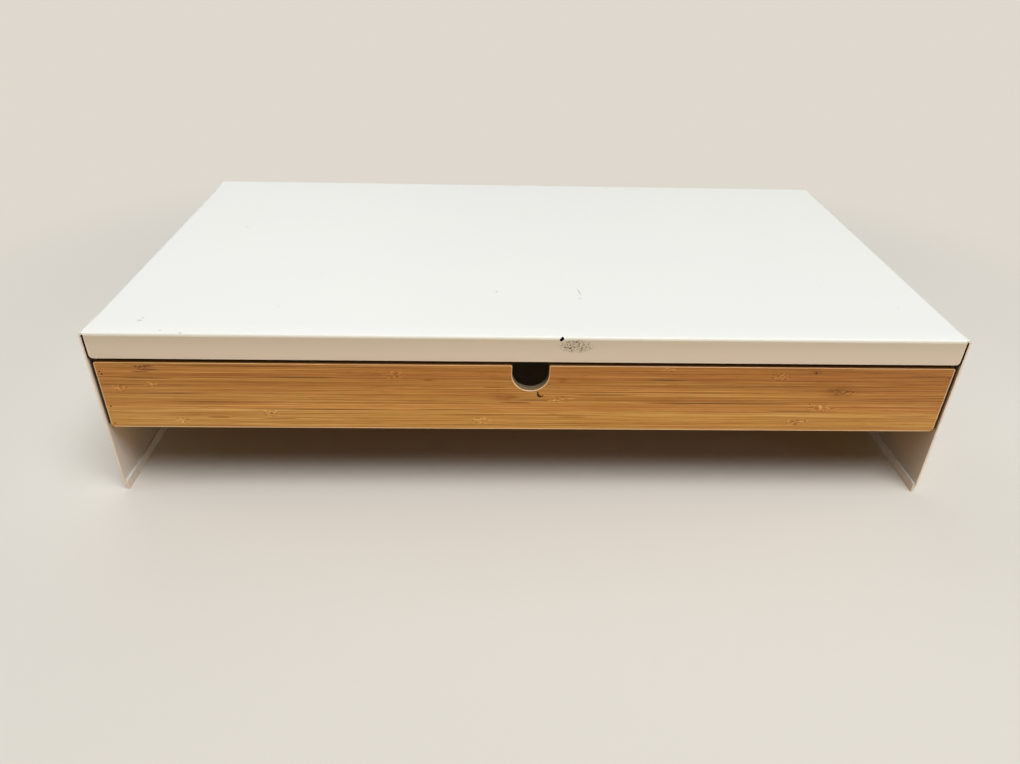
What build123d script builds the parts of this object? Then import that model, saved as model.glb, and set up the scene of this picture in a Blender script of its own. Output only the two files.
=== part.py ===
from build123d import *
import os

# Monitor stand with one drawer: a folded steel stand, and a bamboo drawer on rails that hang
# under its top. Millimetres. X runs to the right, Y to the back, Z up. The origin is on the
# surface that the stand rests on, under the middle of the top.

# Overall size of the stand
stand_width = 470.0
stand_depth = 255.0
stand_height = 104.0

# Folded steel sheet of the stand
sheet = 1.0
bend_inside = 0.8
flange_drop = 15.0
corner_slot = 1.2
flange_corner = 2.0

# Plastic strips that the legs stand on
foot_rise = 3.8
foot_height = 6.0
foot_wall = 1.2
foot_inset = 0.7
foot_end_gap = 0.5
foot_round = 0.3

# Front of the drawer
front_board = 5.0
front_height = 42.0
front_gap = 2.3
front_side_gap = 2.0
front_upper_corner = 1.5
front_lower_corner = 2.5
front_arris = 0.6
notch_width = 20.0
notch_depth = 16.0
notch_mouth = 1.0

# Rails that hang under the top
rail_sheet = 1.2
rail_bend = 0.8
rail_leg_gap = 1.8
rail_front_gap = 2.2
rail_rear_gap = 2.5
rail_flange_margin = 6.8
ledge_cover = 4.8
ledge_reveal = 1.0
end_tab_margin = 1.8
end_tab_height = 22.0

# Tabs cut out of the rails: one stops the open drawer, two keep it from tipping
stop_setback = 20.0
stop_side_gap = 1.0
stop_height = 12.0
stop_gap = 0.3
tilt_gap = 1.0
tilt_cover = 4.0
tilt_length = 20.0
tilt_setback = 27.0
tilt_spacing = 110.0

# Welded studs and flanged nuts that hold the rails
stud_setback = 10.0
stud_spacing = 95.0
stud_count = 3
stud_radius = 1.95
stud_end = 3.6
stud_base_radius = 2.75
stud_base = 0.8
stud_tip = 0.5
stud_hole_gap = 0.25
nut_gap = 0.05
nut_flange_radius = 5.0
nut_flange = 1.0
nut_height = 4.2
nut_across_flats = 7.0

# Glide liners pegged to the ledges
liner = 1.4
liner_web_gap = 0.1
rib_side_gap = 0.5
rib_height = 9.6
liner_end_gap = 1.0
peg_radius = 2.0
peg_gap = 0.1
peg_head_radius = 2.6
peg_head = 0.6
peg_spacing = 80.0
peg_count = 3

# Rubber bumpers at the rear of the rails
bumper_radius = 4.0
bumper_reach = 3.5
bumper_round = 1.5
bumper_stem_radius = 1.95
bumper_stem_gap = 0.05
bumper_lock_radius = 2.8
bumper_lock = 1.0

# Box of the drawer
side_board = 6.0
side_gap = 4.0
side_setdown = 2.2
side_round = 1.0
back_board = 6.0
bottom_board = 3.0
bottom_land = 3.0
side_groove = 3.0
front_groove = 2.0
groove_gap = 0.05
run_gap = 0.2
rear_gap = 0.3

# Blocks that join the front to the sides
block_width = 12.0
block_depth = 12.0
block_height = 24.0
block_chamfer = 5.0

# Catches on the sides, which meet the stop tabs
catch_web_gap = 0.8
catch_length = 20.0
catch_height = 16.0
catch_back_gap = 3.0
catch_round = 0.6

# Countersunk screws of the drawer
screw_radius = 1.45
screw_head_radius = 2.8
small_screw_radius = 1.2
small_screw_head_radius = 2.3
screw_rim = 0.3
screw_tip = 1.5
screw_gap = 0.05
recess_width = 0.6
recess_across = 2.4
recess_depth = 0.9
front_screw_cover = 2.0
front_screw_edge = 6.0
back_screw_length = 22.0
back_screw_spread = 18.0
bottom_screw_length = 14.0
bottom_screw_spacing = 150.0
bottom_screw_count = 3
catch_screw_cover = 1.5
catch_screw_spread = 11.0

# What follows is worked out from the sizes above. The stand:
half_width = stand_width / 2
half_depth = stand_depth / 2
leg_inner = half_width - sheet
under_top = stand_height - sheet
bend_outside = bend_inside + sheet
flange_end = leg_inner - corner_slot
flange_bottom = stand_height - flange_drop

# Front of the drawer
front_top = flange_bottom - front_gap
front_bottom = front_top - front_height
front_face = -half_depth
front_back = front_face + front_board
front_width = 2 * (leg_inner - front_side_gap)

# Rails
rail_bend_outside = rail_bend + rail_sheet
web_outer = leg_inner - rail_leg_gap
web_inner = web_outer - rail_sheet
ledge_bottom = front_bottom + ledge_reveal
ledge_top = ledge_bottom + rail_sheet
rail_front = front_back + rail_front_gap
rail_rear = half_depth - sheet - rail_rear_gap
end_tab_face = rail_rear - rail_sheet

# Box of the drawer
side_outer = web_inner - side_gap
side_inner = side_outer - side_board
liner_top = ledge_top + liner
side_bottom = liner_top + run_gap
side_top = front_top - side_setdown
bottom_under = side_bottom + bottom_land
bottom_top = bottom_under + bottom_board
drawer_rear = end_tab_face - bumper_reach - rear_gap
back_middle = drawer_rear - back_board / 2

# Flanges, ledges and tabs of the rails
side_middle = (side_outer + side_inner) / 2
stud_x = web_inner - stud_setback
rail_flange_inner = stud_x - rail_flange_margin
ledge_inner = side_inner - ledge_cover
end_tab_inner = side_middle - bumper_radius - end_tab_margin
bumper_z = (side_bottom + side_top) / 2
tilt_bottom = side_top + tilt_gap
tilt_reach = side_gap + tilt_cover
rib_top = ledge_top + rib_height
stop_middle = (rib_top + tilt_bottom) / 2
stop_rear = rail_front + stop_setback
stop_reach = side_gap - stop_side_gap
stud_length = rail_sheet + nut_height + stud_end

# Catches
catch_reach = side_gap - catch_web_gap
catch_outer = side_outer + catch_reach
catch_rear = drawer_rear - back_board - catch_back_gap
catch_front = catch_rear - catch_length
catch_middle = (catch_front + catch_rear) / 2
drawer_travel = catch_front - stop_rear - stop_gap
print("drawer travel", round(drawer_travel, 2))


def centred_row(count, spacing):
    """Positions of a row of equal steps, centred on zero."""
    return [(index - (count - 1) / 2) * spacing for index in range(count)]


stud_rows = centred_row(stud_count, stud_spacing)
peg_rows = centred_row(peg_count, peg_spacing)
tilt_rows = [rail_front + tilt_setback + tilt_length / 2 + step for step in (0, tilt_spacing)]


def folded_outline(points, thickness, outside_radius):
    """Section of a sheet folded along points, which turn clockwise along its outer face."""
    with BuildSketch() as outline:
        with BuildLine():
            FilletPolyline(*points, radius=outside_radius)
            offset(amount=thickness, side=Side.RIGHT)
        make_face()
    return outline.sketch


def countersunk_solid(length, shank, head):
    """Pointed countersunk screw without its recess, head up, its head's face at the origin."""
    cone = head - shank
    with BuildPart() as blank:
        with BuildSketch(Plane.XZ):
            with BuildLine():
                Polyline(
                    (0, 0),
                    (head, 0),
                    (head, -screw_rim),
                    (shank, -screw_rim - cone),
                    (shank, -length + screw_tip),
                    (0, -length),
                    close=True,
                )
            make_face()
        revolve(axis=Axis.Z)
    return blank.part


def countersunk_screw(length, shank, head):
    """Countersunk screw with a cross recess."""
    with BuildPart() as screw:
        add(countersunk_solid(length, shank, head))
        for turn in (0, 90):
            with Locations(Location((0, 0, 0), (0, 0, turn))):
                Box(
                    recess_across,
                    recess_width,
                    recess_depth,
                    align=(Align.CENTER, Align.CENTER, Align.MAX),
                    mode=Mode.SUBTRACT,
                )
    return screw.part


def screw_bore(length, shank, head):
    """Hole that a countersunk screw sits in, a little larger all over."""
    return countersunk_solid(length + screw_gap, shank + screw_gap, head + screw_gap)


# Steel stand: the top and its two legs are one bend each side, the flanges are turned down
# between the legs, and a slot is left at each end of a flange
with BuildPart() as stand_shell:
    with BuildSketch(Plane.XZ):
        add(
            folded_outline(
                [
                    (-half_width, foot_rise),
                    (-half_width, stand_height),
                    (half_width, stand_height),
                    (half_width, foot_rise),
                ],
                sheet,
                bend_outside,
            )
        )
    extrude(amount=half_depth, both=True)
    for edge_y, inward in ((-half_depth, Align.MIN), (half_depth, Align.MAX)):
        with Locations((0, edge_y, under_top)):
            Box(
                2 * flange_end,
                bend_outside,
                sheet,
                align=(Align.CENTER, inward, Align.MIN),
                mode=Mode.SUBTRACT,
            )
    with BuildSketch(Plane.YZ):
        add(
            folded_outline(
                [
                    (-half_depth, flange_bottom),
                    (-half_depth, stand_height),
                    (-half_depth + 2 * bend_outside, stand_height),
                ],
                sheet,
                bend_outside,
            )
        )
        mirror(about=Plane.YZ)
    extrude(amount=flange_end, both=True)
    # Of the edges that run front to back, the lowest are the legs' and the next the flanges'
    fillet(stand_shell.edges().filter_by(Axis.Y).group_by(Axis.Z)[1], flange_corner)

# Foot strip: an angle on the inner side of the leg, turned under the steel's lower edge
with BuildPart() as foot_strip_right:
    with BuildSketch(Plane.XZ) as foot_section:
        with BuildLine():
            Polyline(
                (leg_inner - foot_wall, 0),
                (half_width - foot_inset, 0),
                (half_width - foot_inset, foot_rise),
                (leg_inner, foot_rise),
                (leg_inner, foot_height),
                (leg_inner - foot_wall, foot_height),
                close=True,
            )
        make_face()
        fillet(foot_section.vertices().group_by(Axis.Y)[0], foot_round)
    extrude(amount=half_depth - foot_end_gap, both=True)

with BuildPart() as foot_strip_left:
    mirror(foot_strip_right.part, about=Plane.YZ)

# Rail: flange under the top, web, and the ledge that the drawer runs on
with BuildPart() as rail_right:
    with BuildSketch(Plane.XZ.offset(-rail_front)):
        add(
            folded_outline(
                [
                    (rail_flange_inner, under_top),
                    (web_outer, under_top),
                    (web_outer, ledge_bottom),
                    (ledge_inner, ledge_bottom),
                ],
                rail_sheet,
                rail_bend_outside,
            )
        )
    extrude(amount=rail_front - rail_rear + rail_bend_outside)
    # End of the web bent inwards behind the drawer, which holds the bumper
    with BuildSketch(Plane.XY.offset(bumper_z - end_tab_height / 2)):
        add(
            folded_outline(
                [
                    (end_tab_inner, rail_rear),
                    (web_outer, rail_rear),
                    (web_outer, rail_rear - 2 * rail_bend_outside),
                ],
                rail_sheet,
                rail_bend_outside,
            )
        )
    extrude(amount=end_tab_height)
    with Locations(Plane((side_middle, end_tab_face, bumper_z), z_dir=(0, 1, 0))):
        Cylinder(
            bumper_stem_radius + bumper_stem_gap,
            rail_sheet,
            align=(Align.CENTER, Align.CENTER, Align.MIN),
            mode=Mode.SUBTRACT,
        )
    # Stop tab and the window that it was bent out of
    with Locations((web_inner, stop_rear, stop_middle)):
        Box(stop_reach, rail_sheet, stop_height, align=(Align.MAX, Align.MAX, Align.CENTER))
        Box(
            rail_sheet,
            stop_reach,
            stop_height,
            align=(Align.MIN, Align.MIN, Align.CENTER),
            mode=Mode.SUBTRACT,
        )
    # Tilt tabs over the drawer's side and their windows
    with Locations(*[(web_inner, row, tilt_bottom) for row in tilt_rows]):
        Box(tilt_reach, tilt_length, rail_sheet, align=(Align.MAX, Align.CENTER, Align.MIN))
    with Locations(*[(web_inner, row, tilt_bottom + rail_sheet) for row in tilt_rows]):
        Box(
            rail_sheet,
            tilt_length,
            tilt_reach,
            align=(Align.MIN, Align.CENTER, Align.MIN),
            mode=Mode.SUBTRACT,
        )
    # Holes for the studs and for the pegs of the liner
    with Locations(*[(stud_x, row, under_top) for row in stud_rows]):
        Cylinder(
            stud_base_radius + stud_hole_gap,
            rail_sheet,
            align=(Align.CENTER, Align.CENTER, Align.MAX),
            mode=Mode.SUBTRACT,
        )
    with Locations(*[(side_middle, row, ledge_top) for row in peg_rows]):
        Cylinder(
            peg_radius + peg_gap,
            rail_sheet,
            align=(Align.CENTER, Align.CENTER, Align.MAX),
            mode=Mode.SUBTRACT,
        )

with BuildPart() as rail_left:
    mirror(rail_right.part, about=Plane.YZ)

# Studs welded under the top
stud_places = [(side * stud_x, row) for side in (-1, 1) for row in stud_rows]

with BuildPart() as rail_studs:
    with Locations(*[(x, y, under_top) for x, y in stud_places]):
        Cylinder(stud_base_radius, stud_base, align=(Align.CENTER, Align.CENTER, Align.MAX))
        Cylinder(stud_radius, stud_length, align=(Align.CENTER, Align.CENTER, Align.MAX))
    chamfer(rail_studs.edges().filter_by(GeomType.CIRCLE).group_by(Axis.Z)[0], stud_tip)

# Flanged nuts on the studs
with BuildPart() as rail_nuts:
    with BuildSketch(Plane.XY.offset(under_top - rail_sheet)):
        with Locations(*stud_places):
            Circle(nut_flange_radius)
            Circle(stud_radius + nut_gap, mode=Mode.SUBTRACT)
    extrude(amount=-nut_flange)
    with BuildSketch(Plane.XY.offset(under_top - rail_sheet)):
        with Locations(*stud_places):
            RegularPolygon(nut_across_flats / 2, 6, major_radius=False)
            Circle(stud_radius + nut_gap, mode=Mode.SUBTRACT)
    extrude(amount=-nut_height)

# Glide liner: lies on the ledge, with a rib that guides the drawer's side
with BuildPart() as glide_liner_right:
    liner_outer = web_inner - liner_web_gap
    rib_inner = side_outer + rib_side_gap
    heel = rail_bend + 2 * liner_web_gap
    with BuildSketch(Plane.XZ.offset(-rail_front - liner_end_gap)):
        with BuildLine():
            Polyline(
                (ledge_inner, ledge_top),
                (liner_outer - heel, ledge_top),
                (liner_outer, ledge_top + heel),
                (liner_outer, rib_top),
                (rib_inner, rib_top),
                (rib_inner, liner_top),
                (ledge_inner, liner_top),
                close=True,
            )
        make_face()
    extrude(amount=rail_front - end_tab_face + 2 * liner_end_gap)
    with Locations(*[(side_middle, row, ledge_top) for row in peg_rows]):
        Cylinder(peg_radius, rail_sheet, align=(Align.CENTER, Align.CENTER, Align.MAX))
    with Locations(*[(side_middle, row, ledge_bottom) for row in peg_rows]):
        Cylinder(peg_head_radius, peg_head, align=(Align.CENTER, Align.CENTER, Align.MAX))

with BuildPart() as glide_liner_left:
    mirror(glide_liner_right.part, about=Plane.YZ)

# Rubber bumper: a button in front of the tab, a stem through it and a lock behind it
with BuildPart() as bumper_right:
    with BuildSketch(Plane((side_middle, end_tab_face, bumper_z))) as bumper_section:
        with BuildLine():
            Polyline(
                (0, -bumper_reach),
                (bumper_radius, -bumper_reach),
                (bumper_radius, 0),
                (bumper_stem_radius, 0),
                (bumper_stem_radius, rail_sheet),
                (bumper_lock_radius, rail_sheet),
                (bumper_stem_radius, rail_sheet + bumper_lock),
                (0, rail_sheet + bumper_lock),
                close=True,
            )
        make_face()
        rim = bumper_section.vertices().sort_by_distance((bumper_radius, -bumper_reach))[0]
        fillet(rim, bumper_round)
    revolve(axis=Axis((side_middle, end_tab_face, bumper_z), (0, 1, 0)))

with BuildPart() as bumper_left:
    mirror(bumper_right.part, about=Plane.YZ)

# Screws of the drawer, the planes that their heads lie in, and the holes that they need
front_screw = (
    block_depth + front_board - front_screw_cover,
    screw_radius,
    screw_head_radius,
)
back_screw = (back_screw_length, screw_radius, screw_head_radius)
bottom_screw = (bottom_screw_length, screw_radius, screw_head_radius)
catch_screw = (
    catch_reach + side_board - catch_screw_cover,
    small_screw_radius,
    small_screw_head_radius,
)

front_screw_x = side_inner - (block_width - block_chamfer) / 2
front_screw_rows = (bottom_top + front_screw_edge, bottom_top + block_height - front_screw_edge)
front_screw_places = [
    Plane((side * front_screw_x, front_back + block_depth, row), z_dir=(0, 1, 0))
    for side in (-1, 1)
    for row in front_screw_rows
]
back_screw_rows = [(bottom_top + side_top) / 2 + step for step in centred_row(2, back_screw_spread)]
back_screw_places = [
    Plane((side * side_outer, back_middle, row), z_dir=(side, 0, 0))
    for side in (-1, 1)
    for row in back_screw_rows
]
bottom_screw_places = [
    Plane((column, back_middle, bottom_under), z_dir=(0, 0, -1))
    for column in centred_row(bottom_screw_count, bottom_screw_spacing)
]
catch_screw_rows = [catch_middle + step for step in centred_row(2, catch_screw_spread)]
catch_screw_places = [
    Plane((side * catch_outer, row, stop_middle), z_dir=(side, 0, 0))
    for side in (-1, 1)
    for row in catch_screw_rows
]

with BuildPart() as front_screws:
    with Locations(*front_screw_places):
        add(countersunk_screw(*front_screw))

with BuildPart() as back_screws:
    with Locations(*back_screw_places):
        add(countersunk_screw(*back_screw))

with BuildPart() as bottom_screws:
    with Locations(*bottom_screw_places):
        add(countersunk_screw(*bottom_screw))

with BuildPart() as catch_screws:
    with Locations(*catch_screw_places):
        add(countersunk_screw(*catch_screw))

# Front of the drawer, with a half-round finger notch and grooves for the sides and bottom
with BuildPart() as drawer_front:
    with BuildSketch(Plane.XZ.offset(half_depth)) as front_outline:
        with Locations((0, front_top)):
            Rectangle(front_width, front_height, align=(Align.CENTER, Align.MAX))
        fillet(front_outline.vertices().group_by(Axis.Y)[-1], front_upper_corner)
        fillet(front_outline.vertices().group_by(Axis.Y)[0], front_lower_corner)
        with Locations((0, front_top)):
            Rectangle(
                notch_width,
                notch_depth - notch_width / 2,
                align=(Align.CENTER, Align.MAX),
                mode=Mode.SUBTRACT,
            )
        with Locations((0, front_top - notch_depth + notch_width / 2)):
            Circle(notch_width / 2, mode=Mode.SUBTRACT)
        mouth = front_outline.vertices().filter_by_position(
            Axis.X, -notch_width / 2, notch_width / 2
        )
        fillet(mouth.group_by(Axis.Y)[-1], notch_mouth)
    extrude(amount=-front_board)
    fillet(drawer_front.faces().sort_by(Axis.Y)[0].edges(), front_arris)
    with Locations((0, front_back, bottom_under - groove_gap)):
        Box(
            2 * side_inner,
            front_groove,
            bottom_board + 2 * groove_gap,
            align=(Align.CENTER, Align.MAX, Align.MIN),
            mode=Mode.SUBTRACT,
        )
    with Locations(
        (side_middle, front_back, side_bottom - groove_gap),
        (-side_middle, front_back, side_bottom - groove_gap),
    ):
        Box(
            side_board + 2 * groove_gap,
            front_groove,
            side_top - side_bottom + 2 * groove_gap,
            align=(Align.CENTER, Align.MAX, Align.MIN),
            mode=Mode.SUBTRACT,
        )
    with Locations(*front_screw_places):
        add(screw_bore(*front_screw), mode=Mode.SUBTRACT)

# Side of the drawer, grooved for the bottom
tongue_front = front_back - front_groove + groove_gap

with BuildPart() as drawer_side_right:
    with BuildSketch(Plane.YZ.offset(side_inner)):
        with Locations((tongue_front, side_bottom)):
            Rectangle(
                drawer_rear - tongue_front, side_top - side_bottom, align=(Align.MIN, Align.MIN)
            )
    extrude(amount=side_board)
    top_arrises = drawer_side_right.faces().sort_by(Axis.Z)[-1].edges().filter_by(Axis.Y)
    fillet(top_arrises, side_round)
    with Locations((side_inner, tongue_front, bottom_under - groove_gap)):
        Box(
            side_groove,
            drawer_rear - tongue_front,
            bottom_board + 2 * groove_gap,
            align=(Align.MIN, Align.MIN, Align.MIN),
            mode=Mode.SUBTRACT,
        )
    with Locations(*back_screw_places):
        add(screw_bore(*back_screw), mode=Mode.SUBTRACT)
    with Locations(*catch_screw_places):
        add(screw_bore(*catch_screw), mode=Mode.SUBTRACT)

with BuildPart() as drawer_side_left:
    mirror(drawer_side_right.part, about=Plane.YZ)

# Back of the drawer, which stands on the bottom between the sides
with BuildPart() as drawer_back:
    with BuildSketch(Plane.YZ):
        with Locations((drawer_rear, bottom_top)):
            Rectangle(back_board, side_top - bottom_top, align=(Align.MAX, Align.MIN))
    extrude(amount=side_inner, both=True)
    top_arrises = drawer_back.faces().sort_by(Axis.Z)[-1].edges().filter_by(Axis.X)
    fillet(top_arrises, side_round)
    with Locations(*back_screw_places):
        add(screw_bore(*back_screw), mode=Mode.SUBTRACT)
    with Locations(*bottom_screw_places):
        add(screw_bore(*bottom_screw), mode=Mode.SUBTRACT)

# Bottom of the drawer, held in the grooves of the front and sides
with BuildPart() as drawer_bottom:
    with BuildSketch(Plane.XY.offset(bottom_under)):
        with Locations((0, drawer_rear)):
            Rectangle(
                2 * (side_inner + side_groove - groove_gap),
                drawer_rear - front_back,
                align=(Align.CENTER, Align.MAX),
            )
        with Locations((0, front_back)):
            Rectangle(
                2 * (side_inner - groove_gap),
                front_groove - groove_gap,
                align=(Align.CENTER, Align.MAX),
            )
    extrude(amount=bottom_board)
    with Locations(*bottom_screw_places):
        add(screw_bore(*bottom_screw), mode=Mode.SUBTRACT)

# Block in the corner behind the front
with BuildPart() as corner_block_right:
    with BuildSketch(Plane.XY.offset(bottom_top)) as block_section:
        with Locations((side_inner, front_back)):
            Rectangle(block_width, block_depth, align=(Align.MAX, Align.MIN))
        chamfer(block_section.vertices().group_by(Axis.Y)[-1].sort_by(Axis.X)[0], block_chamfer)
    extrude(amount=block_height)
    with Locations(*front_screw_places):
        add(screw_bore(*front_screw), mode=Mode.SUBTRACT)

with BuildPart() as corner_block_left:
    mirror(corner_block_right.part, about=Plane.YZ)

# Catch on the outside of the drawer's side
with BuildPart() as drawer_catch_right:
    with BuildSketch(Plane.YZ.offset(side_outer)):
        with Locations((catch_middle, stop_middle)):
            RectangleRounded(catch_length, catch_height, catch_round)
    extrude(amount=catch_reach)
    fillet(drawer_catch_right.faces().sort_by(Axis.X)[-1].edges(), catch_round / 2)
    with Locations(*catch_screw_places):
        add(screw_bore(*catch_screw), mode=Mode.SUBTRACT)

with BuildPart() as drawer_catch_left:
    mirror(drawer_catch_right.part, about=Plane.YZ)

pieces = {
    "stand_shell": stand_shell,
    "foot_strip_left": foot_strip_left,
    "foot_strip_right": foot_strip_right,
    "rail_left": rail_left,
    "rail_right": rail_right,
    "rail_studs": rail_studs,
    "rail_nuts": rail_nuts,
    "glide_liner_left": glide_liner_left,
    "glide_liner_right": glide_liner_right,
    "bumper_left": bumper_left,
    "bumper_right": bumper_right,
    "drawer_front": drawer_front,
    "drawer_side_left": drawer_side_left,
    "drawer_side_right": drawer_side_right,
    "drawer_back": drawer_back,
    "drawer_bottom": drawer_bottom,
    "corner_block_left": corner_block_left,
    "corner_block_right": corner_block_right,
    "front_screws": front_screws,
    "back_screws": back_screws,
    "bottom_screws": bottom_screws,
    "drawer_catch_left": drawer_catch_left,
    "drawer_catch_right": drawer_catch_right,
    "catch_screws": catch_screws,
}

os.makedirs("parts", exist_ok=True)
for name, piece in pieces.items():
    piece.part.label = name
    export_step(piece.part, f"parts/{name}.step")
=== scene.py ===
# Looks of the monitor stand with drawer: a folded, white powder-coated steel stand, and a bamboo
# drawer on rails under its top. Metres, in the frame of the CAD model: X to the right, Y to the
# back, Z up, and the drawer opens towards -Y.
import math

import bmesh
import bpy
from mathutils import Matrix, Vector


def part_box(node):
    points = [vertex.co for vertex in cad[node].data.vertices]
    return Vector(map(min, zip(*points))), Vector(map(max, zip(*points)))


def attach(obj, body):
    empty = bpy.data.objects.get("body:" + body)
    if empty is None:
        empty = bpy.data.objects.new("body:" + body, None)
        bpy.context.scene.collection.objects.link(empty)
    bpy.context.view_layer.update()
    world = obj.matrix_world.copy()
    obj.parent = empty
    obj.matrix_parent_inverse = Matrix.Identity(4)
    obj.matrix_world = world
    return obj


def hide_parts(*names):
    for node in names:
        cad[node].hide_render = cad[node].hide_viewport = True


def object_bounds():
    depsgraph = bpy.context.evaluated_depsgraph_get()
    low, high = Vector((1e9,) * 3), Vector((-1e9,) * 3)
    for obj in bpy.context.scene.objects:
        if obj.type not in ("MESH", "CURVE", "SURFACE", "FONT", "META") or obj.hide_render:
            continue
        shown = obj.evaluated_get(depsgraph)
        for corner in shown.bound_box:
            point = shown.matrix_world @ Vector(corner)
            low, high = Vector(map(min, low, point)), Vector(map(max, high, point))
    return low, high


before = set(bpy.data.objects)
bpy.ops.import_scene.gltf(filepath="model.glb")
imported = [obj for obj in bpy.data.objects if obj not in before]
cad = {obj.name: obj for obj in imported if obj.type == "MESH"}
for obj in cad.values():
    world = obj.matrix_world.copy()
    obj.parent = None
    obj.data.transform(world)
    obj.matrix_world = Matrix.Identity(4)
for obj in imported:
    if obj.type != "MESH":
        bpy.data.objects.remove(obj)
cad_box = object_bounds()

MM = 0.001

# Camera: where the photograph was taken from, worked out from the edges of the stand
camera_place = (-0.02292, -0.48323, 0.29823)
camera_heading = -1.906
camera_tilt = 58.05
camera_roll = 1.44
camera_lens = 27.262
camera_sensor = 36.0

# Floor, backdrop and lamps
floor_seen = (0.68, 0.65, 0.60)
floor_bounce = (0.46, 0.25, 0.085)
floor_near = 0.06
floor_far = 0.36
backdrop_seen = (0.735, 0.69, 0.62)
sky_light = (0.95, 0.97, 1.0)
sky_strength = 0.05

# Powder coat. The build-up white paints highlights on the legs' front edges, the flange's cut
# ends and the top's front edge. The inside, bend and gap colours and the colour for the slots
# paint shade inside the legs, at the flange's bend, beside the drawer's front and in the slots
coat_white = (0.80, 0.80, 0.77)
coat_shade = (0.785, 0.787, 0.763)
painted_highlight_white = (0.95, 0.94, 0.90)
inside_painted_shade = (0.60, 0.58, 0.545)
bend_painted_shade = (0.62, 0.635, 0.56)
gap_painted_shade = (0.05, 0.025, 0.012)
dust_brown = (0.25, 0.23, 0.20)
rubbed_dark = (0.07, 0.06, 0.05)
rubbed_bright = (0.97, 0.93, 0.84)
scratch_grey = (0.3, 0.29, 0.28)
bare_dark = (0.004, 0.004, 0.004)
slot_painted_shade = (0.006, 0.006, 0.006)

# Where the coat changes, in millimetres: across and deep are distances from the middle of the
# stand, up is the height above its feet. A change starts at the first number and is full at the
# second, and where there are four, it fades between the last two. inside_shift is added to the
# depth on the left and on the right leg, so that the painted shade inside the legs starts deeper
# on the left one
slot_across = (232.2, 232.6, 234.2, 234.7)
slot_up = (87.0, 89.5, 103.2, 103.6)
slot_deep = (110.0, 118.0, 126.8, 127.4)
inside_across = (232.5, 233.5, 234.3, 234.8)
inside_deep = (126.5, 105.0)
inside_shift = (5.0, -8.0)
gap_deep = (121.5, 122.5, 125.6, 126.6)
gap_up = (44.5, 46.5, 88.5, 89.5)
crest_deep = (114.0, 127.0)
edge_deep = (126.5, 127.0)
flange_end_across = (231.4, 232.4)
leg_rim_across = (233.5, 233.8)
flange_bend_up = (92.5, 103.5)

# The rubbed cloud on the front flange, in millimetres: its middle, and its reach each way
rubbed_middle_x = 23.5
rubbed_middle_z = 98.7
rubbed_reach = (12.0, 4.0, 5.4)

# Marks on the coat, in millimetres. Chips on the front bend: X, Z and half size. Scratches on the
# top: X, Y, half length, half width and the turn of their length, in degrees
coat_chips = [
    (15.4, 102.5, 0.9),
    (16.1, 103.2, 0.85),
]
top_scratches = [
    (30.1, -71.5, 6.5, 0.6, 83.0),
    (29.7, -80.0, 2.2, 0.5, 0.0),
    (-18.4, -72.2, 1.5, 0.8, 60.0),
    (-189.0, 27.0, 3.0, 0.5, 35.0),
    (-208.8, -112.7, 1.6, 1.3, 0.0),
    (-208.3, -109.3, 1.2, 0.8, 0.0),
    (-194.4, -123.6, 1.3, 0.8, 0.0),
    (-183.2, -126.2, 1.2, 0.8, 0.0),
    (-140.0, -94.0, 0.7, 0.5, 0.0),
    (213.0, -88.0, 0.8, 0.5, 0.0),
    (177.0, -62.0, 0.8, 0.5, 0.0),
]

# Bamboo
bamboo_cream = (0.87, 0.62, 0.26)
bamboo_golden = (0.630, 0.370, 0.094)
bamboo_pale = (0.650, 0.346, 0.092)
bamboo_deep = (0.375, 0.143, 0.022)
bamboo_burnt = (0.09, 0.028, 0.006)
# Pale bamboo that paints highlights on the arrises and rims of the drawer's front
bamboo_painted_highlight = (0.93, 0.77, 0.58)
dot_dark = (0.03, 0.006, 0.002)
end_grain = (0.22, 0.165, 0.10)
strip_height = 5.0 * MM

# Zinc, fibreboard, plastic and rubber
zinc_bright = (0.66, 0.68, 0.70)
zinc_dull = (0.52, 0.54, 0.57)
board_brown = (0.42, 0.27, 0.15)
board_dark = (0.27, 0.16, 0.08)
board_white = (0.76, 0.75, 0.72)
board_shade = (0.72, 0.71, 0.68)
foot_white = (0.93, 0.94, 0.92)
glide_white = (0.75, 0.75, 0.73)
catch_white = (0.72, 0.72, 0.70)
rubber_dark = (0.03, 0.03, 0.03)


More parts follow.
